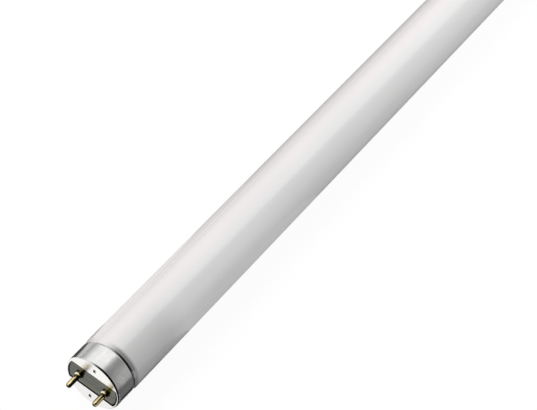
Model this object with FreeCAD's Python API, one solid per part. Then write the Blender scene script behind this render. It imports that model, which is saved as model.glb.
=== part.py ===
# Straight fluorescent tube with a two-pin cap at each end. Sizes are in millimetres.
# +X runs along the tube, +Y from pin to pin and +Z up. The origin is the middle of the tube.
# Each end is drawn in its own frame: x is 0 on the cap's flat face and grows into the tube.

import FreeCAD, Part
import math
import os

Vector = FreeCAD.Vector

# Whole tube
face_to_face = 589.8        # between the flat faces of the two caps
glass_diameter = 26.0
glass_wall = 0.55

# Aluminium cap, a drawn cup
cap_inset = 0.25            # how far the cap's side lies inside the glass surface
cap_length = 10.0
cap_sheet = 0.3
cap_corner = 0.75           # outer radius between the face and the side
rim_turn_length = 0.8       # stretch of the open rim that is turned in
rim_gap = 0.35              # turned rim to the straight glass neck

# Window in the cap's face: a strip across a circle, its edge turned inwards as a lip
window_ring = 0.88          # metal left between the window's ends and the cap's side
window_width = 10.5
window_corner = 0.9
lip_depth = 0.8             # from the cap's face to the lip's end
lip_edge_radius = 0.12

# Stakes: a tab lanced in the middle of each half of the face, which locks the insulator
stake_length = 1.9
stake_ramp = 1.3
stake_depth = 0.95
stake_clearance = 0.05

# Insulator, a disc of phenolic board behind the cap's face with a raised strip in the window
board_thickness = 2.0
board_clearance = 0.15      # disc to the cap's side wall
strip_setback = 0.3         # from the cap's face back to the strip's
strip_gap = 0.6             # strip to the lip, all round
seat_diameter = 4.0         # counterbore round each pin's collar
seat_depth = 0.35           # from the strip's face to the bottom of the counterbore

# Contact pins, hollow and riveted to the insulator
pin_pitch = 12.7
pin_diameter = 2.35
pin_length = 7.1            # tip to the cap's face
pin_tip_length = 0.4        # tapered and rounded stretch at the tip
pin_tip_flat = 1.7          # width of the tip's flat before rounding
pin_bore = 1.3
collar_diameter = 3.8
collar_thickness = 0.35
groove_diameter = 2.5
groove_length = 0.25        # neck between the bead and the collar
bead_diameter = 3.3
bead_length = 1.1
rivet_diameter = 3.6
rivet_thickness = 0.4
crimp_length = 1.2          # closed stretch of the bore at the tip
dimple_depth = 0.25         # hollow in the tip, down to the wire's end
dimple_diameter = 0.9
wire_fit = 0.02             # lead wire to the crimped bore

# Lead wires
wire_diameter = 0.5
wire_bend = 4.0
wire_lead_in = 1.2          # straight wire behind the rivet

# Capping cement, a ring that glues the cap to the glass neck
cement_thickness = 0.6
cement_inset = 0.9          # cement to the glass rim
cement_setback = 1.0        # cement to the glass shoulder

# Glass end: neck, shoulder and the stem sealed into it
glass_gap = 1.6             # rivets to the glass rim
glass_rim = 1.0             # thickness of the fused rim
shoulder_lead = 0.4         # how far inside the cap's rim the shoulder starts
shoulder_length = 2.3
shoulder_radius = 2.0
stem_wall = 0.8
stem_throat = 8.8           # bore of the stem's straight part
stem_depth = 32.0           # cap's face to the inner end of the stem
flare_length = 10.5
flare_bend = 5.0
press_length = 7.0
press_thickness = 3.2
press_taper = 2.5
exhaust_diameter = 4.2
exhaust_tip = 2.6           # tip of the sealed exhaust tube behind the glass rim
stem_fillet = 0.5

# Worked out from the values above
tool_margin = 1.0           # how far a cutting shape runs past what it cuts
glass_radius = glass_diameter / 2
cap_radius = glass_radius - cap_inset
window_radius = cap_radius - window_ring
stake_offset = (window_width / 2 + cap_radius - cap_corner) / 2
seat_bottom = strip_setback + seat_depth
pin_radius = pin_diameter / 2
wire_radius = wire_diameter / 2
cap_bore_radius = cap_radius - cap_sheet
neck_radius = cap_bore_radius - cement_thickness
rim_turn = cement_thickness - rim_gap
board_back = lip_depth + board_thickness
rivet_back = board_back + rivet_thickness
glass_end = rivet_back + glass_gap
neck_end = cap_length - shoulder_lead
shoulder_end = neck_end + shoulder_length
exhaust_radius = exhaust_diameter / 2
throat_radius = stem_throat / 2
stem_radius = throat_radius + stem_wall
press_start = stem_depth - press_length
funnel_bottom = press_start - stem_wall
wire_offset = (exhaust_radius + throat_radius) / 2


def rounded_outline(points):
    """Closed wire through (x, y, corner radius) points, each corner rounded by a tangent arc.
    A radius that its two sides have no room for is made smaller."""
    spots = [Vector(x, y, 0) for x, y, _ in points]
    count = len(points)
    starts, arcs, ends = [], [], []
    for i, (_, _, radius) in enumerate(points):
        corner = spots[i]
        back = spots[i - 1] - corner
        ahead = spots[(i + 1) % count] - corner
        room = 0.49 * min(back.Length, ahead.Length)
        back.normalize()
        ahead.normalize()
        half = back.getAngle(ahead) / 2
        reach = min(radius / math.tan(half), room) if radius > 0 else 0.0
        starts.append(corner + back * reach)
        ends.append(corner + ahead * reach)
        if reach > 0:
            bisector = back + ahead
            bisector.normalize()
            fitted = reach * math.tan(half)
            middle = corner + bisector * (fitted / math.sin(half) - fitted)
            arcs.append(Part.Arc(starts[-1], middle, ends[-1]).toShape())
        else:
            arcs.append(None)
    edges = []
    for i in range(count):
        if arcs[i] is not None:
            edges.append(arcs[i])
        edges.append(Part.LineSegment(ends[i], starts[(i + 1) % count]).toShape())
    return Part.Wire(edges)


def turned(points):
    """Solid of revolution about the tube's axis; y in the points is the radius."""
    face = Part.Face(rounded_outline(points))
    return face.revolve(Vector(0, 0, 0), Vector(1, 0, 0), 360)


def prism(points, width):
    """Solid with an (x, y) outline, centred on z = 0 and as deep as width."""
    face = Part.Face(rounded_outline([(x, y, 0) for x, y in points]))
    face.translate(Vector(0, 0, -width / 2))
    return face.extrude(Vector(0, 0, width))


def rod(radius, start, end):
    """Cylinder on the tube's axis."""
    return Part.makeCylinder(radius, end - start, Vector(start, 0, 0), Vector(1, 0, 0))


def radius_line_x(first, second, radius):
    """x where the line through two (x, radius) points has that radius."""
    share = (radius - first[1]) / (second[1] - first[1])
    return first[0] + share * (second[0] - first[0])


def mirrored(points):
    """Points of the far end, drawn from the first end's points about the tube's middle."""
    return [(face_to_face - x, y, radius) for x, y, radius in reversed(points)]


# Glass


def flare_lines():
    """Outer and inner (x, radius) line of the flare between the stem's throat and the glass rim."""
    mouth = (glass_end, neck_radius - glass_rim)
    throat = (glass_end + flare_length, throat_radius)
    run = Vector(throat[0] - mouth[0], throat[1] - mouth[1], 0)
    run.normalize()
    step = Vector(-run.y, run.x, 0) * stem_wall
    inner = [(x + step.x, y + step.y) for x, y in (mouth, throat)]
    return (mouth, throat), inner


def glass_outside_points():
    """Outer surface of one glass end, from the exhaust tube's tip to the full diameter."""
    (mouth, throat), _ = flare_lines()
    tip = glass_end + exhaust_tip
    half_rim = glass_rim / 2
    return [
        (tip, 0, 0),
        (tip, exhaust_radius, exhaust_radius),
        (funnel_bottom, exhaust_radius, stem_fillet),
        (funnel_bottom, throat[1], stem_fillet),
        (throat[0], throat[1], flare_bend),
        (mouth[0], mouth[1], half_rim),
        (glass_end, neck_radius, half_rim),
        (neck_end, neck_radius, shoulder_radius),
        (shoulder_end, glass_radius, shoulder_radius),
    ]


def glass_inside_points():
    """Inner surface of one glass end, from the stem's end to the full bore."""
    _, (mouth, throat) = flare_lines()
    neck_bore = neck_radius - glass_wall
    return [
        (stem_depth, 0, 0),
        (stem_depth, stem_radius, stem_fillet),
        (radius_line_x(mouth, throat, stem_radius), stem_radius, flare_bend + stem_wall),
        (radius_line_x(mouth, throat, neck_bore), neck_bore, glass_wall / 2),
        (neck_end, neck_bore, shoulder_radius + glass_wall),
        (shoulder_end, glass_radius - glass_wall, shoulder_radius - glass_wall),
    ]


def press_sides():
    """Space on both sides of the stem's flattened press, where its wires were sealed in."""
    half = press_thickness / 2
    beyond = stem_radius + tool_margin
    outline = [
        (press_start, stem_radius, 0),
        (press_start + press_taper, half, 0),
        (stem_depth, half, 0),
        (stem_depth, beyond, 0),
        (press_start, beyond, 0),
    ]
    flank = Part.Face(rounded_outline(outline)).extrude(Vector(0, 0, 2 * beyond))
    flank.translate(Vector(0, 0, -beyond))
    flank.rotate(Vector(0, 0, 0), Vector(1, 0, 0), 90)
    other = flank.copy()
    other.rotate(Vector(0, 0, 0), Vector(1, 0, 0), 180)
    core = rod(stem_radius, press_start, stem_depth)
    return flank.fuse(other).common(core)


def glass_tube():
    """The sealed glass: straight tube, two necks and both stems, fused into one hollow piece."""
    outside = turned(glass_outside_points() + mirrored(glass_outside_points()))
    inside = turned(glass_inside_points() + mirrored(glass_inside_points()))
    near = press_sides()
    far = near.mirror(Vector(face_to_face / 2, 0, 0), Vector(1, 0, 0))
    glass = outside.cut(inside.fuse([near, far]).removeSplitter())
    glass.translate(Vector(-face_to_face / 2, 0, 0))
    return glass


# Cap


def window_prism(grow, start, end):
    """Body of the window: a strip across a circle with rounded corners, its outline moved out by grow."""
    radius = window_radius + grow
    half = window_width / 2 + grow
    strip = Part.makeBox(end - start, 2 * radius, 2 * half, Vector(start, -radius, -half))
    body = rod(radius, start, end).common(strip)
    corners = []
    for edge in body.Edges:
        a, b = edge.Vertexes[0].Point, edge.Vertexes[-1].Point
        if abs(a.x - b.x) > 1e-6 and abs(abs(a.z) - half) < 1e-6:
            corners.append(edge)
    return body.makeFillet(window_corner + grow, corners)


def stake_outline(thickness, clearance):
    """(x, y) outline of a lanced tab; its deep end is sheared off square."""
    deep = stake_ramp / 2 + clearance
    shallow = stake_ramp / 2 - stake_ramp
    return [
        (stake_depth - clearance, deep),
        (stake_depth + thickness + clearance, deep),
        (thickness + clearance, shallow),
        (-clearance, shallow),
    ]


def at_stakes(shape):
    """The shape at both stakes, above and below the strip."""
    places = [Vector(0, 0, stake_offset), Vector(0, 0, -stake_offset)]
    return [shape.translated(place) for place in places]


def stake_cutter():
    """Removes the face above a lanced tab."""
    slope = stake_ramp / stake_depth
    deep = stake_ramp / 2
    outline = [
        (stake_depth, deep),
        (-tool_margin, deep),
        (-tool_margin, deep - stake_ramp - slope * tool_margin),
    ]
    return prism(outline, stake_length)


def end_cap():
    """Drawn aluminium cup with its window, lip, stakes and turned-in rim."""
    bend = cap_length - rim_turn_length
    cup = turned([
        (0, 0, 0),
        (0, cap_radius, cap_corner),
        (bend, cap_radius, rim_turn_length / 2),
        (cap_length, cap_radius - rim_turn, cap_sheet / 2),
        (cap_length, cap_bore_radius - rim_turn, cap_sheet / 4),
        (bend, cap_bore_radius, rim_turn_length / 2),
        (cap_sheet, cap_bore_radius, cap_corner - cap_sheet),
        (cap_sheet, 0, 0),
    ])
    lip = window_prism(cap_sheet, cap_sheet / 2, lip_depth)
    shell = cup.fuse(lip).cut(window_prism(0, -tool_margin, lip_depth + tool_margin))
    shell = shell.makeFillet(lip_edge_radius, window_edges(shell))
    tab = prism(stake_outline(cap_sheet, 0), stake_length)
    return shell.fuse(at_stakes(tab)).cut(at_stakes(stake_cutter()))


def window_edges(shell):
    """Edges of the window on the cap's flat face."""
    reach = window_radius + 1e-3
    found = []
    for edge in shell.Edges:
        box = edge.BoundBox
        on_face = abs(box.XMin) < 1e-6 and abs(box.XMax) < 1e-6
        if on_face and max(box.YMax, -box.YMin, box.ZMax, -box.ZMin) < reach:
            found.append(edge)
    return found


# Insulator, pins, wires and cement


def insulator():
    """Board disc on the lip, its raised strip, two counterbored pin holes and the stakes' sockets."""
    disc = rod(cap_bore_radius - board_clearance, lip_depth, board_back)
    strip = window_prism(-strip_gap, strip_setback, (lip_depth + board_back) / 2)
    board = disc.fuse(strip).removeSplitter()
    bore = rod(pin_radius, strip_setback, board_back + tool_margin)
    hole = bore.fuse(rod(seat_diameter / 2, strip_setback - tool_margin, seat_bottom))
    holes = [hole.translated(Vector(0, side * pin_pitch / 2, 0)) for side in (-1, 1)]
    socket = prism(stake_outline(cap_sheet, stake_clearance), stake_length + 2 * stake_clearance)
    return board.cut(holes + at_stakes(socket))


def contact_pin():
    """Hollow pin on the tube's axis: shaft, bead, groove, collar and rivet."""
    collar_front = seat_bottom - collar_thickness
    bead_back = collar_front - groove_length
    bead_front = bead_back - bead_length
    collar_radius = collar_diameter / 2
    groove_radius = groove_diameter / 2
    bead_radius = bead_diameter / 2
    rivet_radius = rivet_diameter / 2
    bore_radius = pin_bore / 2
    crimp_radius = wire_radius + wire_fit
    crimp_back = crimp_length - pin_length
    rivet_wall = rivet_thickness / 3
    fillet = (groove_radius - pin_radius) / 2
    return turned([
        (-pin_length, dimple_diameter / 2, 0),
        (-pin_length, pin_tip_flat / 2, pin_tip_length),
        (pin_tip_length - pin_length, pin_radius, 2 * pin_tip_length),
        (bead_front, pin_radius, bead_length / 8),
        (bead_front + bead_length / 4, bead_radius, bead_length / 3),
        (bead_back, bead_radius, bead_length / 2),
        (bead_back, groove_radius, fillet),
        (collar_front, groove_radius, fillet),
        (collar_front, collar_radius, collar_thickness / 2),
        (seat_bottom, collar_radius, collar_thickness / 4),
        (seat_bottom, pin_radius, 0),
        (board_back, pin_radius, 0),
        (board_back, rivet_radius, rivet_thickness / 2),
        (rivet_back, rivet_radius, rivet_thickness / 2),
        (rivet_back, bore_radius + rivet_wall, rivet_wall),
        (board_back, bore_radius, rivet_wall),
        (crimp_back, bore_radius, 0),
        (crimp_back - crimp_length / 3, crimp_radius, 0),
        (dimple_depth - pin_length, crimp_radius, 0),
    ])


def lead_wire():
    """Wire on the +Y side: out of the press, through the stem, across to the pin and up to its tip."""
    path = [
        Vector(funnel_bottom, wire_offset, 0),
        Vector(glass_end + exhaust_tip + wire_bend, wire_offset, 0),
        Vector(rivet_back + wire_lead_in, pin_pitch / 2, 0),
        Vector(dimple_depth - pin_length, pin_pitch / 2, 0),
    ]
    edges = []
    start = path[0]
    for before, corner, after in zip(path, path[1:], path[2:]):
        back = before - corner
        ahead = after - corner
        room = 0.45 * min(back.Length, ahead.Length)
        back.normalize()
        ahead.normalize()
        half = back.getAngle(ahead) / 2
        reach = min(wire_bend / math.tan(half), room)
        bisector = back + ahead
        bisector.normalize()
        radius = reach * math.tan(half)
        middle = corner + bisector * (radius / math.sin(half) - radius)
        edges.append(Part.LineSegment(start, corner + back * reach).toShape())
        edges.append(Part.Arc(corner + back * reach, middle, corner + ahead * reach).toShape())
        start = corner + ahead * reach
    edges.append(Part.LineSegment(start, path[-1]).toShape())
    section = Part.Wire(Part.makeCircle(wire_radius, path[0], Vector(1, 0, 0)))
    return Part.Wire(edges).makePipeShell([section], True, False)


def capping_cement():
    """Ring between the cap's side wall and the glass neck."""
    start = glass_end + cement_inset
    end = neck_end - cement_setback
    return rod(cap_bore_radius, start, end).cut(
        rod(neck_radius, start - tool_margin, end + tool_margin)
    )


# Both ends


def at_end(shape, side):
    """Moves a piece from an end's own frame to the tube's left end (-X) or, turned half round, its right."""
    placed = shape.copy()
    if side == "right":
        placed.rotate(Vector(0, 0, 0), Vector(0, 0, 1), 180)
    offset = face_to_face / 2
    placed.translate(Vector(offset if side == "right" else -offset, 0, 0))
    return placed


def across_pins(shape):
    """A piece drawn on the +Y side, there and on the -Y side."""
    other = shape.copy()
    other.rotate(Vector(0, 0, 0), Vector(1, 0, 0), 180)
    return shape, other


def build():
    """All pieces of the tube by name."""
    pieces = {"glass_tube": glass_tube()}
    cap, board, cement = end_cap(), insulator(), capping_cement()
    pins = across_pins(contact_pin().translated(Vector(0, pin_pitch / 2, 0)))
    wires = across_pins(lead_wire())
    for side in ("left", "right"):
        pieces["end_cap_" + side] = at_end(cap, side)
        pieces["insulator_" + side] = at_end(board, side)
        pieces["capping_cement_" + side] = at_end(cement, side)
        # the first of a pair stands at the rear, +Y, on the left end and at the front on the right one
        rows = ("rear", "front") if side == "left" else ("front", "rear")
        for row, pin, wire in zip(rows, pins, wires):
            pieces["contact_pin_" + side + "_" + row] = at_end(pin, side)
            pieces["lead_wire_" + side + "_" + row] = at_end(wire, side)
    return pieces


def main():
    os.makedirs("parts", exist_ok=True)
    for name, shape in build().items():
        solids = shape.Solids
        print(name, "solids", len(solids), "valid", shape.isValid(), "volume", round(shape.Volume, 2))
        shape.exportStep(os.path.join("parts", name + ".step"))


main()
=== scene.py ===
import math

import bmesh
import bpy
from mathutils import Matrix, Vector


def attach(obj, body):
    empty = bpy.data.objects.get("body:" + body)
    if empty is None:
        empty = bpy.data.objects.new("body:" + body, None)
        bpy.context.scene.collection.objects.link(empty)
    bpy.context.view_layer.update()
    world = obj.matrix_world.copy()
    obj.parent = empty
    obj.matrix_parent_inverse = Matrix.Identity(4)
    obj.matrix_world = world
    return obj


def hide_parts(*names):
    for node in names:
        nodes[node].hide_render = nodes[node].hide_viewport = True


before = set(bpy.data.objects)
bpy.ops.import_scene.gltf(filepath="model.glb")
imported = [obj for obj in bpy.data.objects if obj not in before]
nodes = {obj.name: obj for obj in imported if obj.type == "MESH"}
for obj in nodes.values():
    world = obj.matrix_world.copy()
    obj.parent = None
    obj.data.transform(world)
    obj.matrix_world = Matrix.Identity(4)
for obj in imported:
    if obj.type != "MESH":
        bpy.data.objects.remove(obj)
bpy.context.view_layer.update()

# A straight fluorescent tube on a white table. Metres: X runs along the tube, Y from pin to pin,
# Z up, and the origin is the middle of the tube. The dictionaries of the glass and of the finishes
# are in mm. A pair of numbers there is where a fade starts and where it is full, and for rough it
# is the smoothest and the roughest.

scene = bpy.context.scene
scene.view_settings.view_transform = "Standard"
mm = 0.001


class Value:  # one output of a shader node; a sum written with it adds Math nodes
    def __init__(self, shader, node, output=0):
        self.shader = shader
        self.node = node
        self.socket = node.outputs[output]

    def other(self, output):  # another output of the same node
        return Value(self.shader, self.node, output)

    def math(self, operation, *values):
        return self.shader.math(operation, self, *values)

    def __add__(self, value):
        return self.math("ADD", value)

    __radd__ = __add__

    def __sub__(self, value):
        return self.math("SUBTRACT", value)

    def __rsub__(self, value):
        return self.shader.math("SUBTRACT", value, self)

    def __mul__(self, value):
        return self.math("MULTIPLY", value)

    __rmul__ = __mul__

    def __truediv__(self, value):
        return self.math("DIVIDE", value)

    def __abs__(self):
        return self.math("ABSOLUTE")


class Shader:  # builds the nodes of one material or world
    def __init__(self, owner):
        owner.use_nodes = True
        self.owner = owner
        self.tree = owner.node_tree
        self.tree.nodes.clear()

    def node(self, kind, settings=None, inputs=None, output=0):
        made = self.tree.nodes.new("ShaderNode" + kind)
        for name, setting in (settings or {}).items():
            setattr(made, name, setting)
        for name, value in (inputs or {}).items():
            self.feed(made.inputs[name], value)
        return Value(self, made, output) if made.outputs else made

    def feed(self, socket, value):
        if isinstance(value, Value):
            self.tree.links.new(value.socket, socket)
        elif hasattr(value, "__len__") and socket.type == "RGBA" and len(value) == 3:
            socket.default_value = (*value, 1)
        else:
            socket.default_value = value

    def math(self, operation, *values):
        return self.node("Math", {"operation": operation}, dict(enumerate(values)))

    def vector(self, operation, *values, output=0):
        return self.node("VectorMath", {"operation": operation}, dict(enumerate(values)), output)

    def place(self, stretch=(1, 1, 1)):  # object coordinates, stretched
        point = self.node("TexCoord", output="Object")
        return self.node("Mapping", inputs={"Vector": point, "Scale": stretch})

    def along(self, *axes):  # where a point lies along the part's axes, in mm
        point = self.node("SeparateXYZ", inputs={"Vector": self.place()})
        return [point.other(axis) / mm for axis in axes]

    def noise(self, scale=1.0, stretch=(1, 1, 1), detail=3, roughness=0.5):
        inputs = {
            "Vector": self.place(stretch),
            "Scale": scale,
            "Detail": detail,
            "Roughness": roughness,
        }
        return self.node("TexNoise", {"normalize": True}, inputs, "Fac")

    def fade(self, value, low, high, start=0, end=1):  # smooth step from start to end
        inputs = {
            "Value": value,
            "From Min": low,
            "From Max": high,
            "To Min": start,
            "To Max": end,
        }
        return self.node("MapRange", {"interpolation_type": "SMOOTHSTEP"}, inputs)

    def mix(self, factor, first, second):  # colours
        return self.node("Mix", {"data_type": "RGBA"}, {0: factor, 6: first, 7: second}, 2)

    def bump(self, height, distance, strength):
        inputs = {"Height": height, "Distance": distance, "Strength": strength}
        return self.node("Bump", inputs=inputs)

    def seen(self):  # 1 for rays that show a thing, straight or mirrored, and 0 for its light
        ray = self.node("LightPath", output="Is Camera Ray")
        either = ray + ray.other("Is Glossy Ray") + ray.other("Is Transmission Ray")
        return either.math("MINIMUM", 1.0)

    def glow(self, level):
        return self.node("Emission", inputs={"Color": (1, 1, 1), "Strength": level})

    def finish(self, surface, kind="Material"):
        self.node("Output" + kind, inputs={"Surface": surface})
        return self.owner

    def finishUnlit(self, surface):  # a glow that the render doesn't treat as a lamp
        material = self.finish(surface)
        material.cycles.emission_sampling = "NONE"
        return material


def blend(first, second, share):  # share of the first, the rest of the second
    return first * share + second * (1 - share)


def newMaterial(name):
    return Shader(bpy.data.materials.new(name))


def newMesh(form, name):
    mesh = bpy.data.meshes.new(name)
    form.to_mesh(mesh)
    form.free()
    return mesh


def showPiece(name, mesh):
    piece = bpy.data.objects.new(name, mesh)
    scene.collection.objects.link(piece)
    return piece


def dress(piece, material):
    for slot in piece.material_slots:
        slot.material = material


# Camera, as the photograph's

photoCamera = {
    "place": (-0.644250, -0.198532, 0.632183),
    "heading": 22.9917,  # degrees, from +X towards +Y
    "dip": 51.2995,
    "roll": 15.6477,
    "lens": 130.625,  # mm
    "sensor": 36,  # mm
    "clip": (0.01, 100),
}


def placeCamera():
    lens = bpy.data.cameras.new("photoCamera")
    lens.sensor_width = photoCamera["sensor"]
    lens.lens = photoCamera["lens"]
    lens.clip_start, lens.clip_end = photoCamera["clip"]
    camera = bpy.data.objects.new("photoCamera", lens)
    heading, dip, roll = (math.radians(photoCamera[turn]) for turn in ("heading", "dip", "roll"))
    camera.matrix_world = (
        Matrix.Translation(photoCamera["place"])
        @ Matrix.Rotation(heading - math.pi / 2, 4, "Z")
        @ Matrix.Rotation(math.pi / 2 - dip, 4, "X")
        @ Matrix.Rotation(roll, 4, "Z")
    )
    scene.collection.objects.link(camera)
    scene.camera = camera


placeCamera()
print("camera placed")


# Studio: a white table, two lamps, and what metal and glass mirror: a light tent all round and
# grey cards that lie on the table on both sides of the tube

studio = {
    "tableSize": 60.0,
    "tableHeight": -0.013,
    "tableColour": (0.62, 0.62, 0.62),
    "tableWhite": 1.09,
    "tableShare": 0.85,  # share of the plain white that the camera sees; the rest shows the shadow
    "fillLevel": 0.42,  # light that comes evenly from all round
    "cardLift": 0.2,  # mm
}
tent = {
    "radius": 8.0,
    "segments": (48, 24),
    "bright": 1.08,  # the side that edgeNormal points to, at full height
    "edgeNormal": (0.371, 0.929, 0.0),
    "edgeWidth": 0.16,
    "horizonLevel": 0.28,
    "fullHeight": 0.55,
    "dimTop": 0.30,  # the other side
    "dimSide": 0.45,
    "dimHeights": (0.25, 0.75),
    "darkLevel": 0.01,  # the quarter towards -X and -Y, open and dark
    "darkFront": (0.32, 0.18),
    "darkSide": (0.08, -0.14),
}
cards = {  # two corners of each, X and Y
    "rearCap": {"low": (-0.286, 0.0128), "high": (-0.262, 1.5), "level": 0.04},
    "rearNear": {"low": (-0.262, 0.0128), "high": (-0.20, 0.27), "level": 0.75},
    "rearMiddle": {"low": (-0.20, 0.0128), "high": (-0.16, 0.27), "level": 0.45},
    "rearFar": {"low": (-0.16, 0.0128), "high": (0.60, 0.27), "level": 0.28},
    "frontCap": {"low": (-0.287, -1.2), "high": (-0.262, -0.0195), "level": 0.15},
    "frontEdge": {"low": (-0.42, -0.0195), "high": (-0.262, -0.0128), "level": 0.01},
    "frontEnd": {"low": (-0.262, -1.2), "high": (-0.243, -0.0128), "level": 0.15},
    "frontNear": {"low": (-0.243, -1.2), "high": (-0.15, -0.0128), "level": 0.42},
    "frontFar": {"low": (-0.15, -1.2), "high": (0.60, -0.0128), "level": 0.27},
}
softbox = {"kind": "AREA", "place": (-0.5, 1.3, 1.9), "aim": (0, 0, 0), "size": 1.3, "power": 30.0}
sideSpot = {
    "kind": "SPOT",
    "place": (0.25, -1.0, 0.85),
    "aim": (0.1, 0, 0),
    "size": 0.5,
    "power": 24.0,
    "cone": 35.0,  # degrees
    "blend": 1.0,
}


def flatSheet(name, low, high, height):
    form = bmesh.new()
    bmesh.ops.create_grid(form, x_segments=1, y_segments=1, size=0.5)
    size = (high[0] - low[0], high[1] - low[1], 1)
    middle = ((low[0] + high[0]) / 2, (low[1] + high[1]) / 2, height)
    bmesh.ops.scale(form, vec=size, verts=form.verts)
    bmesh.ops.translate(form, vec=middle, verts=form.verts)
    return showPiece(name, newMesh(form, name))


def mirroredOnly(stand):  # seen in reflections and nowhere else
    stand.visible_camera = False
    stand.visible_diffuse = False
    stand.visible_transmission = False
    stand.visible_volume_scatter = False
    stand.visible_shadow = False


def makeTable():
    half = studio["tableSize"] / 2
    table = flatSheet("table", (-half, -half), (half, half), studio["tableHeight"])
    shader = newMaterial("whiteTable")
    factor = shader.seen() * studio["tableShare"]
    matt = shader.node("BsdfDiffuse", inputs={"Color": studio["tableColour"]})
    glow = shader.glow(studio["tableWhite"])
    surface = shader.node("MixShader", inputs={0: factor, 1: matt, 2: glow})
    table.data.materials.append(shader.finishUnlit(surface))


def makeTent():
    form = bmesh.new()
    around, upwards = tent["segments"]
    bmesh.ops.create_uvsphere(form, u_segments=around, v_segments=upwards, radius=tent["radius"])
    shell = showPiece("lightTent", newMesh(form, "lightTent"))
    shader = newMaterial("tentCloth")
    way = shader.vector("NORMALIZE", shader.place())
    ahead = shader.node("SeparateXYZ", inputs={"Vector": way})
    aside, height = ahead.other("Y"), ahead.other("Z")
    facing = shader.vector("DOT_PRODUCT", way, tent["edgeNormal"], output="Value")
    litSide = shader.fade(facing, -tent["edgeWidth"] / 2, tent["edgeWidth"] / 2)
    lit = shader.fade(height, 0, tent["fullHeight"], tent["horizonLevel"], 1) * tent["bright"]
    dim = shader.fade(height, *tent["dimHeights"], tent["dimSide"], tent["dimTop"])
    level = litSide * (lit - dim) + dim
    dark = shader.fade(ahead, *tent["darkFront"]) * shader.fade(aside, *tent["darkSide"])
    level = level * (1 - dark) + dark * tent["darkLevel"]
    shell.data.materials.append(shader.finishUnlit(shader.glow(level)))
    mirroredOnly(shell)


def makeCards():
    height = studio["tableHeight"] + studio["cardLift"] * mm
    for name, card in cards.items():
        sheet = flatSheet(name + "Card", card["low"], card["high"], height)
        shader = newMaterial(name + "Card")
        sheet.data.materials.append(shader.finishUnlit(shader.glow(card["level"])))
        mirroredOnly(sheet)


def makeLamp(name, lamp):
    light = bpy.data.lights.new(name, lamp["kind"])
    light.energy = lamp["power"]
    if lamp["kind"] == "AREA":
        light.shape = "SQUARE"
        light.size = lamp["size"]
    else:
        light.shadow_soft_size = lamp["size"] / 2
        light.spot_size = math.radians(lamp["cone"])
        light.spot_blend = lamp["blend"]
    stand = bpy.data.objects.new(name, light)
    towards = Vector(lamp["aim"]) - Vector(lamp["place"])
    turn = towards.to_track_quat("-Z", "Y").to_matrix().to_4x4()
    stand.matrix_world = Matrix.Translation(lamp["place"]) @ turn
    stand.visible_glossy = False  # the tent and the cards are what metal and glass mirror
    stand.visible_camera = False
    scene.collection.objects.link(stand)


def makeWorld():
    world = bpy.data.worlds.new("studioWorld")
    scene.world = world
    shader = Shader(world)
    seen = shader.seen()
    level = seen + (1 - seen) * studio["fillLevel"]
    surface = shader.node("Background", inputs={"Color": (1, 1, 1), "Strength": level})
    shader.finish(surface, "World")


makeTable()
makeTent()
makeCards()
makeLamp("softbox", softbox)
makeLamp("sideSpot", sideSpot)
makeWorld()
print("studio made")


# Glass: straight tube, necks, shoulders and the stems that close its ends

tubeGlass = {
    "halfLength": 294.9,  # middle of the tube to a cap's flat face
    "segments": 192,
    "joinWithin": 0.001,
    # one end: depth behind the cap's face, radius, reach of the rounding, its segments
    "corners": [
        (7.4, 0, 0, 0),
        (7.4, 2.1, 2.05, 8),
        (24.2, 2.1, 0.5, 4),
        (24.2, 4.4, 0.5, 4),
        (15.3, 4.4, 2.5, 8),
        (4.8, 10.85, 0.42, 5),
        (4.8, 11.85, 0.48, 5),
        (9.6, 11.85, 0.44, 6),
        (11.9, 13.0, 0.44, 6),
    ],
}


def spunMesh(name, corners):
    form = bmesh.new()
    line = [form.verts.new((x * mm, radius * mm, 0)) for x, radius, _, _ in corners]
    for start, end in zip(line, line[1:]):
        form.edges.new((start, end))
    for vert, (_, _, reach, steps) in zip(line, corners):
        if reach:
            bmesh.ops.bevel(form, geom=[vert], offset=reach * mm, offset_type="OFFSET",
                            segments=steps, profile=0.5, affect="VERTICES",
                            clamp_overlap=True, material=-1)
    bmesh.ops.spin(form, geom=form.verts[:] + form.edges[:], cent=(0, 0, 0), axis=(1, 0, 0),
                   dvec=(0, 0, 0), angle=2 * math.pi, steps=tubeGlass["segments"], use_merge=True,
                   use_normal_flip=False, use_duplicate=False)
    bmesh.ops.remove_doubles(form, verts=form.verts, dist=tubeGlass["joinWithin"] * mm)
    bmesh.ops.recalc_face_normals(form, faces=form.faces)
    for face in form.faces:
        face.smooth = True
    return newMesh(form, name)


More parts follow.
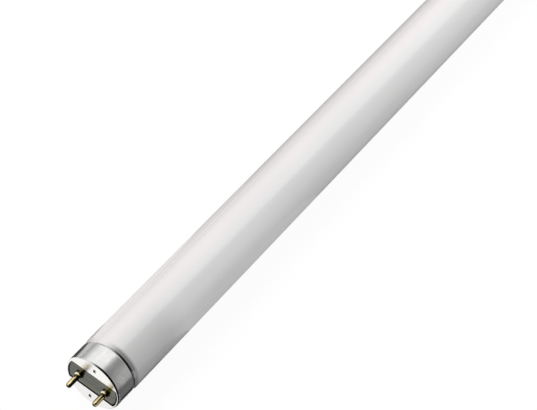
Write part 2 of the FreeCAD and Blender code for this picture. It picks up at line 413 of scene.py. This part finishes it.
def glassMaterial():
    look = {
        "streaks": {"stretch": (3, 160, 160)},
        "powder": {"scale": 900, "detail": 4, "roughness": 0.6},
        "clouds": {"scale": 60, "stretch": (0.35, 1, 1), "detail": 2},
        "waves": {"stretch": (12, 55, 55), "detail": 1},
        "white": (0.868, 0.866, 0.864),
        "shade": (0.80, 0.797, 0.795),  # in patches
        "shadeClouds": 0.6,  # share of the clouds in the patches; the rest follows the streaks
        "shadeFrom": (0.35, 0.68),
        "shadeShare": 0.4,
        "powderShare": 0.12,
        "rosyLight": (0.90, 0.848, 0.842),  # painted light: a rosy tint towards +Y, the colour of the light on the lit side
        "rosySide": (-2.0, 3.0),
        "pale": (0.97, 0.97, 0.97),  # painted light: paler towards -Y, far from the middle
        "paleFrom": (150.0, 225.0),
        "paleSide": (-4.0, -9.0),
        "endPaintedShade": (0.68, 0.68, 0.675),  # painted shade: darker towards -Y, in the last stretch before a cap
        "endFrom": (250.0, 268.0),
        "endSide": (4.0, -6.0),
        "endWander": 4.0,
        # near each end the coat thins, a seam line rounds the shoulder and the coat stops; drawn
        # dark only towards -Y, they are partly painted shade
        "thinCoatShade": (0.36, 0.362, 0.36),
        "thinFrom": (282.0, 283.8),
        "thinWander": 0.2,
        "seamLineShade": (0.22, 0.22, 0.22),
        "seamAt": 283.55,  # from the tube's middle
        "seamHalf": (0.05, 0.3),
        "seamShare": 0.6,
        "shadeSideTurn": (4.0, -5.0),  # painted shade: where the thin coat, the seam and the bare glass begin to show; they are drawn dark only towards -Y
        "bareGlassShade": (0.03, 0.03, 0.03),
        "coatEnd": 284.15,  # from the tube's middle, where the white coat stops
        "coatEdge": 0.2,
        "coatWander": 0.1,
        "roughFrom": (0.3, 0.7),
        "rough": (0.36, 0.44),
        "bumpWaves": 0.8,  # share of the waves in the bumps; the rest follows the streaks
        "bumpHeight": 0.02,
        "bumpStrength": 0.5,
    }
    shader = newMaterial("coatedGlass")
    streaks = shader.noise(**look["streaks"])
    powder = shader.noise(**look["powder"])
    clouds = shader.noise(**look["clouds"])
    waves = shader.noise(**look["waves"])
    x, y = shader.along("X", "Y")
    fromMiddle = abs(x)
    colour = shader.mix(shader.fade(y, *look["rosySide"]), look["white"], look["rosyLight"])
    # painted light on the far stretch of the -Y side
    pale = shader.fade(fromMiddle, *look["paleFrom"]) * shader.fade(y, *look["paleSide"])
    colour = shader.mix(pale, colour, look["pale"])
    # painted shade near each cap, on the -Y side only
    end = shader.fade(fromMiddle + clouds * look["endWander"], *look["endFrom"])
    colour = shader.mix(end * shader.fade(y, *look["endSide"]), colour, look["endPaintedShade"])
    shade = shader.fade(blend(clouds, streaks, look["shadeClouds"]), *look["shadeFrom"])
    shade = shade * look["shadeShare"] + powder * look["powderShare"]
    colour = shader.mix(shade, colour, look["shade"])
    # painted shade: the coat's thin end, the seam and the bare glass darken only towards -Y
    shadeSide = shader.fade(y, *look["shadeSideTurn"])
    thin = shader.fade(fromMiddle + powder * look["thinWander"], *look["thinFrom"])
    colour = shader.mix(thin * shadeSide, colour, look["thinCoatShade"])
    fromSeam = abs(fromMiddle - look["seamAt"])
    seam = shader.fade(fromSeam, *look["seamHalf"], look["seamShare"], 0)
    colour = shader.mix(seam * shadeSide, colour, look["seamLineShade"])
    coatEnd = (look["coatEnd"], look["coatEnd"] + look["coatEdge"])
    bare = shader.fade(fromMiddle + powder * look["coatWander"], *coatEnd)
    colour = shader.mix(bare * shadeSide, colour, look["bareGlassShade"])
    height = blend(waves, streaks, look["bumpWaves"])
    surface = shader.node("BsdfPrincipled", inputs={
        "Base Color": colour,
        "Roughness": shader.fade(powder, *look["roughFrom"], *look["rough"]),
        "IOR": 1.5,
        "Coat Weight": 1.0,
        "Coat Roughness": 0.03,
        "Coat IOR": 1.8,
        "Normal": shader.bump(height, look["bumpHeight"] * mm, look["bumpStrength"]),
    })
    return shader.finish(surface)


def makeGlass():
    half = tubeGlass["halfLength"]
    end = [(depth - half, *rounding) for depth, *rounding in tubeGlass["corners"]]
    farEnd = [(-x, *rounding) for x, *rounding in reversed(end)]
    mesh = spunMesh("tubeGlass", end + farEnd)
    mesh.materials.append(glassMaterial())
    piece = showPiece("tubeGlass", mesh)
    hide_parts("glass_tube")
    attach(piece, "root")


makeGlass()
print("glass made")


# Finishes of the pieces whose solids are shown as they are

def metalSurface(shader, colour, rough, height, look):
    surface = shader.node("BsdfPrincipled", inputs={
        "Base Color": colour,
        "Metallic": 1.0,
        "Roughness": rough,
        "Normal": shader.bump(height, look["bumpHeight"] * mm, look["bumpStrength"]),
    })
    return shader.finish(surface)


def aluminiumMaterial():
    look = {
        "drawn": {"stretch": (60, 1500, 1500)},
        "mottle": {"scale": 320, "roughness": 0.6},
        "grain": {"stretch": (900, 120, 5200), "detail": 2},
        "streak": {"stretch": (40, 700, 700), "detail": 2},
        "bright": (0.86, 0.855, 0.845),
        "dull": (0.76, 0.755, 0.745),  # in patches
        "dullStreak": 0.7,  # share of the streak in the patches; the rest follows the mottle
        "dullFrom": (0.35, 0.7),
        "left": (0.66, 0.66, 0.655),  # painted shade: darker towards +Y
        "leftSide": (1.0, 6.0),
        "leftShare": 0.5,
        "foldShade": (0.70, 0.70, 0.695),  # painted shade: darker towards -Y, in the last stretch before the face
        "foldFrom": (290.5, 293.5),
        "foldSide": (3.0, -4.0),
        "rimFrom": (285.65, 285.4),  # from the tube's middle
        "rimWander": 0.1,
        "rimShadeLight": (0.8, 0.8, 0.795),
        "rimShadeDark": (0.012, 0.012, 0.012),
        "rimTurn": (4.0, -5.0),  # painted shade: from the lighter stretch of the rim on +Y to the dark one on -Y
        "face": (0.95, 0.942, 0.918),
        "faceFrom": (294.5, 294.8),
        "faceRough": 0.3,
        # painted shade: the face darker towards the bottom
        "lowerFaceShade": (0.87, 0.86, 0.85),
        "lowerFrom": (0.0, -7.0),
        "darkening": (0.02, 0.02, 0.019),  # painted shade: black at the window's edge and along the cap's corner
        "windowFrom": (294.893, 294.84),
        "windowRadius": 12.2,
        "windowHalf": 5.6,
        "cornerFrom": (294.2, 294.4),
        "cornerReach": (12.1, 12.3),
        "cornerTurn": (4.0, -2.0),
        "cornerEnd": (1.0, -4.0),
        "cornerEndShare": 0.3,
        "cornerUnder": (-1.0, -7.0),
        "cornerUnderShare": 0.4,
        "tabFrom": (294.86, 294.8),
        "tabReach": (12.2, 12.0),
        "tabRough": 0.7,
        "roughMottle": 0.6,  # share of the mottle in the roughness; the rest follows the drawing
        "roughFrom": (0.35, 0.65),
        "rough": (0.18, 0.28),
        "bumpShares": (0.5, 0.4, 0.1),  # drawing, grain, mottle
        "bumpHeight": 0.005,
        "bumpStrength": 0.5,
    }
    shader = newMaterial("capAluminium")
    drawn = shader.noise(**look["drawn"])
    mottle = shader.noise(**look["mottle"])
    grain = shader.noise(**look["grain"])
    streak = shader.noise(**look["streak"])
    x, y, z = shader.along("X", "Y", "Z")
    fromMiddle = abs(x)
    fromAxis = (y * y + z * z).math("SQRT")
    dull = shader.fade(blend(streak, mottle, look["dullStreak"]), *look["dullFrom"])
    colour = shader.mix(dull, look["bright"], look["dull"])
    left = shader.fade(y, *look["leftSide"]) * look["leftShare"]
    colour = shader.mix(left, colour, look["left"])
    foldShade = shader.fade(fromMiddle, *look["foldFrom"]) * shader.fade(y, *look["foldSide"])
    colour = shader.mix(foldShade, colour, look["foldShade"])
    # painted shade along the rim's edge, dark towards -Y
    rim = shader.fade(fromMiddle + mottle * look["rimWander"], *look["rimFrom"])
    rimShadeLight = shader.mix(shader.fade(y, *look["rimTurn"]), look["rimShadeLight"], look["rimShadeDark"])
    colour = shader.mix(rim, colour, rimShadeLight)
    onFace = shader.fade(fromMiddle, *look["faceFrom"])
    face = shader.mix(shader.fade(z, *look["lowerFrom"]), look["face"], look["lowerFaceShade"])
    colour = shader.mix(onFace, colour, face)
    # painted shade: black along the cap's corner, towards -Y and underneath
    corner = shader.fade(fromMiddle, *look["cornerFrom"])
    corner = corner * shader.fade(fromAxis, *look["cornerReach"])
    turned = shader.fade(y, *look["cornerTurn"])
    turned = turned * shader.fade(z, *look["cornerEnd"], 1, look["cornerEndShare"])
    underShade = shader.fade(z, *look["cornerUnder"], 0, look["cornerUnderShare"])
    colour = shader.mix(corner * turned.math("MAXIMUM", underShade), colour, look["darkening"])
    # painted shade: black on the window's edge
    window = shader.fade(fromMiddle, *look["windowFrom"])
    window = window * fromAxis.math("LESS_THAN", look["windowRadius"])
    window = window * abs(z).math("LESS_THAN", look["windowHalf"])
    colour = shader.mix(window, colour, look["darkening"])
    tab = shader.fade(fromMiddle, *look["tabFrom"]) * shader.fade(fromAxis, *look["tabReach"])
    tab = tab * abs(z).math("GREATER_THAN", look["windowHalf"])
    rough = blend(mottle, drawn, look["roughMottle"])
    rough = shader.fade(rough, *look["roughFrom"], *look["rough"])
    rough = rough + (look["faceRough"] - rough) * onFace
    rough = rough + (look["tabRough"] - rough) * tab
    shares = look["bumpShares"]
    height = drawn * shares[0] + grain * shares[1] + mottle * shares[2]
    return metalSurface(shader, colour, rough, height, look)


def brassMaterial():
    look = {
        "darkening": {"scale": 700, "detail": 4, "roughness": 0.6},
        "turned": {"stretch": (9000, 300, 300), "detail": 2},
        "bright": (0.94, 0.77, 0.40),
        # tarnish spots, and the painted shade and reflections of the pins
        "tarnishAndShade": (0.010, 0.007, 0.002),
        "pinOffset": 6.35,  # from the tube's axis to a pin's
        "leastReach": 0.05,
        "brightWay": (0.8, 0.6),  # towards a pin's bright side, Y and Z
        "spotFrom": (0.45, 0.75),
        "spotShare": 0.12,
        "footFrom": (295.3, 294.8),  # from the tube's middle, where painted shade gathers at the pins' feet
        "footWander": 0.3,
        "footShare": 0.65,
        "underShade": (0.30, 0.08),  # painted shade on the underside, as a cosine from the bright side
        "frontUnderShade": (-0.45, -0.75),
        "frontReflectionLine": 0.2,  # painted reflection: a dark line along a front pin
        "frontLineHalf": (0.14, 0.34),
        "frontLineShare": 0.85,
        # painted reflection: darker at the far edge of the bright side
        "edge": (0.82, 0.97),
        "edgeShare": 0.5,
        # painted shade on the pin's rounded end
        "tipStart": 301.55,
        "tipReach": (0.85, 0.6),
        "beadHighlight": (1.0, 0.95, 0.72),  # painted highlight on the bead's bright side
        "beadHighlightFrom": (0.5, 0.8),
        "beadFrom": (295.0, 295.3),
        "beadTop": 296.2,
        "roughFrom": (0.3, 0.7),
        "rough": (0.06, 0.12),
        "bumpTurned": 0.6,  # share of the turning marks in the bumps; the rest follows the stain
        "bumpHeight": 0.003,
        "bumpStrength": 0.5,
    }
    shader = newMaterial("pinBrass")
    darkening = shader.noise(**look["darkening"])
    turned = shader.noise(**look["turned"])
    x, y, up = shader.along("X", "Y", "Z")
    fromMiddle = abs(x)
    across = y - y.math("SIGN") * look["pinOffset"]
    reach = (across * across + up * up).math("SQRT").math("MAXIMUM", look["leastReach"])
    side = (across * look["brightWay"][0] + up * look["brightWay"][1]) / reach
    spots = shader.fade(darkening, *look["spotFrom"]) * look["spotShare"]
    footShade = shader.fade(fromMiddle + darkening * look["footWander"], *look["footFrom"])
    front = y.math("LESS_THAN", 0.0) * fromMiddle.math("GREATER_THAN", look["beadTop"])
    fromLine = abs(side - look["frontReflectionLine"])
    line = shader.fade(fromLine, *look["frontLineHalf"], look["frontLineShare"], 0)
    frontUnderShade = shader.fade(side, *look["frontUnderShade"]).math("MAXIMUM", line)
    underShade = shader.fade(side, *look["underShade"])
    underShade = underShade + (frontUnderShade - underShade) * front
    edge = shader.fade(side, *look["edge"])
    tipShade = fromMiddle.math("GREATER_THAN", look["tipStart"]) * shader.fade(reach, *look["tipReach"])
    # real tarnish spots plus the painted shade and reflections
    dirtAndShade = spots + footShade * look["footShare"] + underShade + edge * look["edgeShare"] + tipShade
    colour = shader.mix(dirtAndShade.math("MINIMUM", 1.0), look["bright"], look["tarnishAndShade"])
    onBead = fromMiddle.math("LESS_THAN", look["beadTop"])
    onBead = onBead * shader.fade(fromMiddle, *look["beadFrom"])
    colour = shader.mix(shader.fade(side, *look["beadHighlightFrom"]) * onBead, colour, look["beadHighlight"])
    rough = shader.fade(darkening, *look["roughFrom"], *look["rough"])
    return metalSurface(shader, colour, rough, blend(turned, darkening, look["bumpTurned"]), look)


def boardMaterial():
    look = {
        "fibre": {"stretch": (300, 40, 1500), "detail": 2},
        "speck": {"scale": 3200, "detail": 2},
        "dark": (0.004, 0.004, 0.001),
        "light": (0.12, 0.122, 0.018),
        "lightFibre": 0.85,  # share of the fibre in the light lines; the rest follows the specks
        "lightFrom": (0.42, 0.58),
        "groove": (0.004, 0.004, 0.004),
        "grooveFrom": (294.5, 294.3),  # from the tube's middle; painted shade, black in the gap round the strip
        "outlineReach": (10.9, 11.1),  # from the tube's axis; painted shade, a black outline on the -Y side
        "hiddenBoardLight": (0.7, 0.7, 0.67),  # painted light: pale beyond the window's sides, behind the cap's face, where the stake holes show the board
        "windowHalf": 5.4,
        "roughFrom": (0.3, 0.7),
        "rough": (0.1, 0.2),
        "bumpFibre": 0.6,
        "bumpHeight": 0.01,
        "bumpStrength": 0.5,
    }
    shader = newMaterial("insulatorBoard")
    fibre = shader.noise(**look["fibre"])
    speck = shader.noise(**look["speck"])
    x, y, z = shader.along("X", "Y", "Z")
    light = shader.fade(blend(fibre, speck, look["lightFibre"]), *look["lightFrom"])
    colour = shader.mix(light, look["dark"], look["light"])
    colour = shader.mix(shader.fade(abs(x), *look["grooveFrom"]), colour, look["groove"])
    # painted shade: a black outline round the board on the -Y side
    outline = shader.fade((y * y + z * z).math("SQRT"), *look["outlineReach"])
    outline = outline * y.math("LESS_THAN", 0.0)
    colour = shader.mix(outline, colour, look["groove"])
    behind = abs(z).math("GREATER_THAN", look["windowHalf"])
    height = blend(fibre, speck, look["bumpFibre"])
    surface = shader.node("BsdfPrincipled", inputs={
        "Base Color": shader.mix(behind, colour, look["hiddenBoardLight"]),
        "Roughness": shader.fade(speck, *look["roughFrom"], *look["rough"]),
        "Metallic": outline,
        "IOR": 1.68,
        "Normal": shader.bump(height, look["bumpHeight"] * mm, look["bumpStrength"]),
    })
    return shader.finish(surface)


def wireMaterial():
    look = {
        "darkening": {"scale": 900},
        "drawn": {"stretch": (200, 5000, 5000), "detail": 2},
        "bright": (0.66, 0.63, 0.58),
        "dull": (0.42, 0.39, 0.34),
        "dullFrom": (0.35, 0.7),
        "roughFrom": (0.3, 0.7),
        "rough": (0.28, 0.45),
        "bumpHeight": 0.004,
        "bumpStrength": 0.5,
    }
    shader = newMaterial("wireNickel")
    darkening = shader.noise(**look["darkening"])
    drawn = shader.noise(**look["drawn"])
    colour = shader.mix(shader.fade(darkening, *look["dullFrom"]), look["bright"], look["dull"])
    rough = shader.fade(darkening, *look["roughFrom"], *look["rough"])
    return metalSurface(shader, colour, rough, drawn, look)


def cementMaterial():
    look = {
        "grit": {"scale": 2400, "detail": 4, "roughness": 0.65},
        "lumps": {"scale": 420},
        "pale": (0.56, 0.49, 0.38),
        "dark": (0.38, 0.31, 0.22),
        "darkFrom": (0.3, 0.7),
        "roughFrom": (0.3, 0.7),
        "rough": (0.75, 0.92),
        "bumpGrit": 0.5,
        "bumpHeight": 0.08,
        "bumpStrength": 0.7,
    }
    shader = newMaterial("cappingCement")
    grit = shader.noise(**look["grit"])
    lumps = shader.noise(**look["lumps"])
    height = blend(grit, lumps, look["bumpGrit"])
    surface = shader.node("BsdfPrincipled", inputs={
        "Base Color": shader.mix(shader.fade(grit, *look["darkFrom"]), look["pale"], look["dark"]),
        "Roughness": shader.fade(lumps, *look["roughFrom"], *look["rough"]),
        "Normal": shader.bump(height, look["bumpHeight"] * mm, look["bumpStrength"]),
    })
    return shader.finish(surface)


finishes = {
    "end_cap": aluminiumMaterial(),
    "contact_pin": brassMaterial(),
    "insulator": boardMaterial(),
    "lead_wire": wireMaterial(),
    "capping_cement": cementMaterial(),
}
for name, node in nodes.items():
    for start, material in finishes.items():
        if name.startswith(start):
            dress(node, material)
print("finishes set")
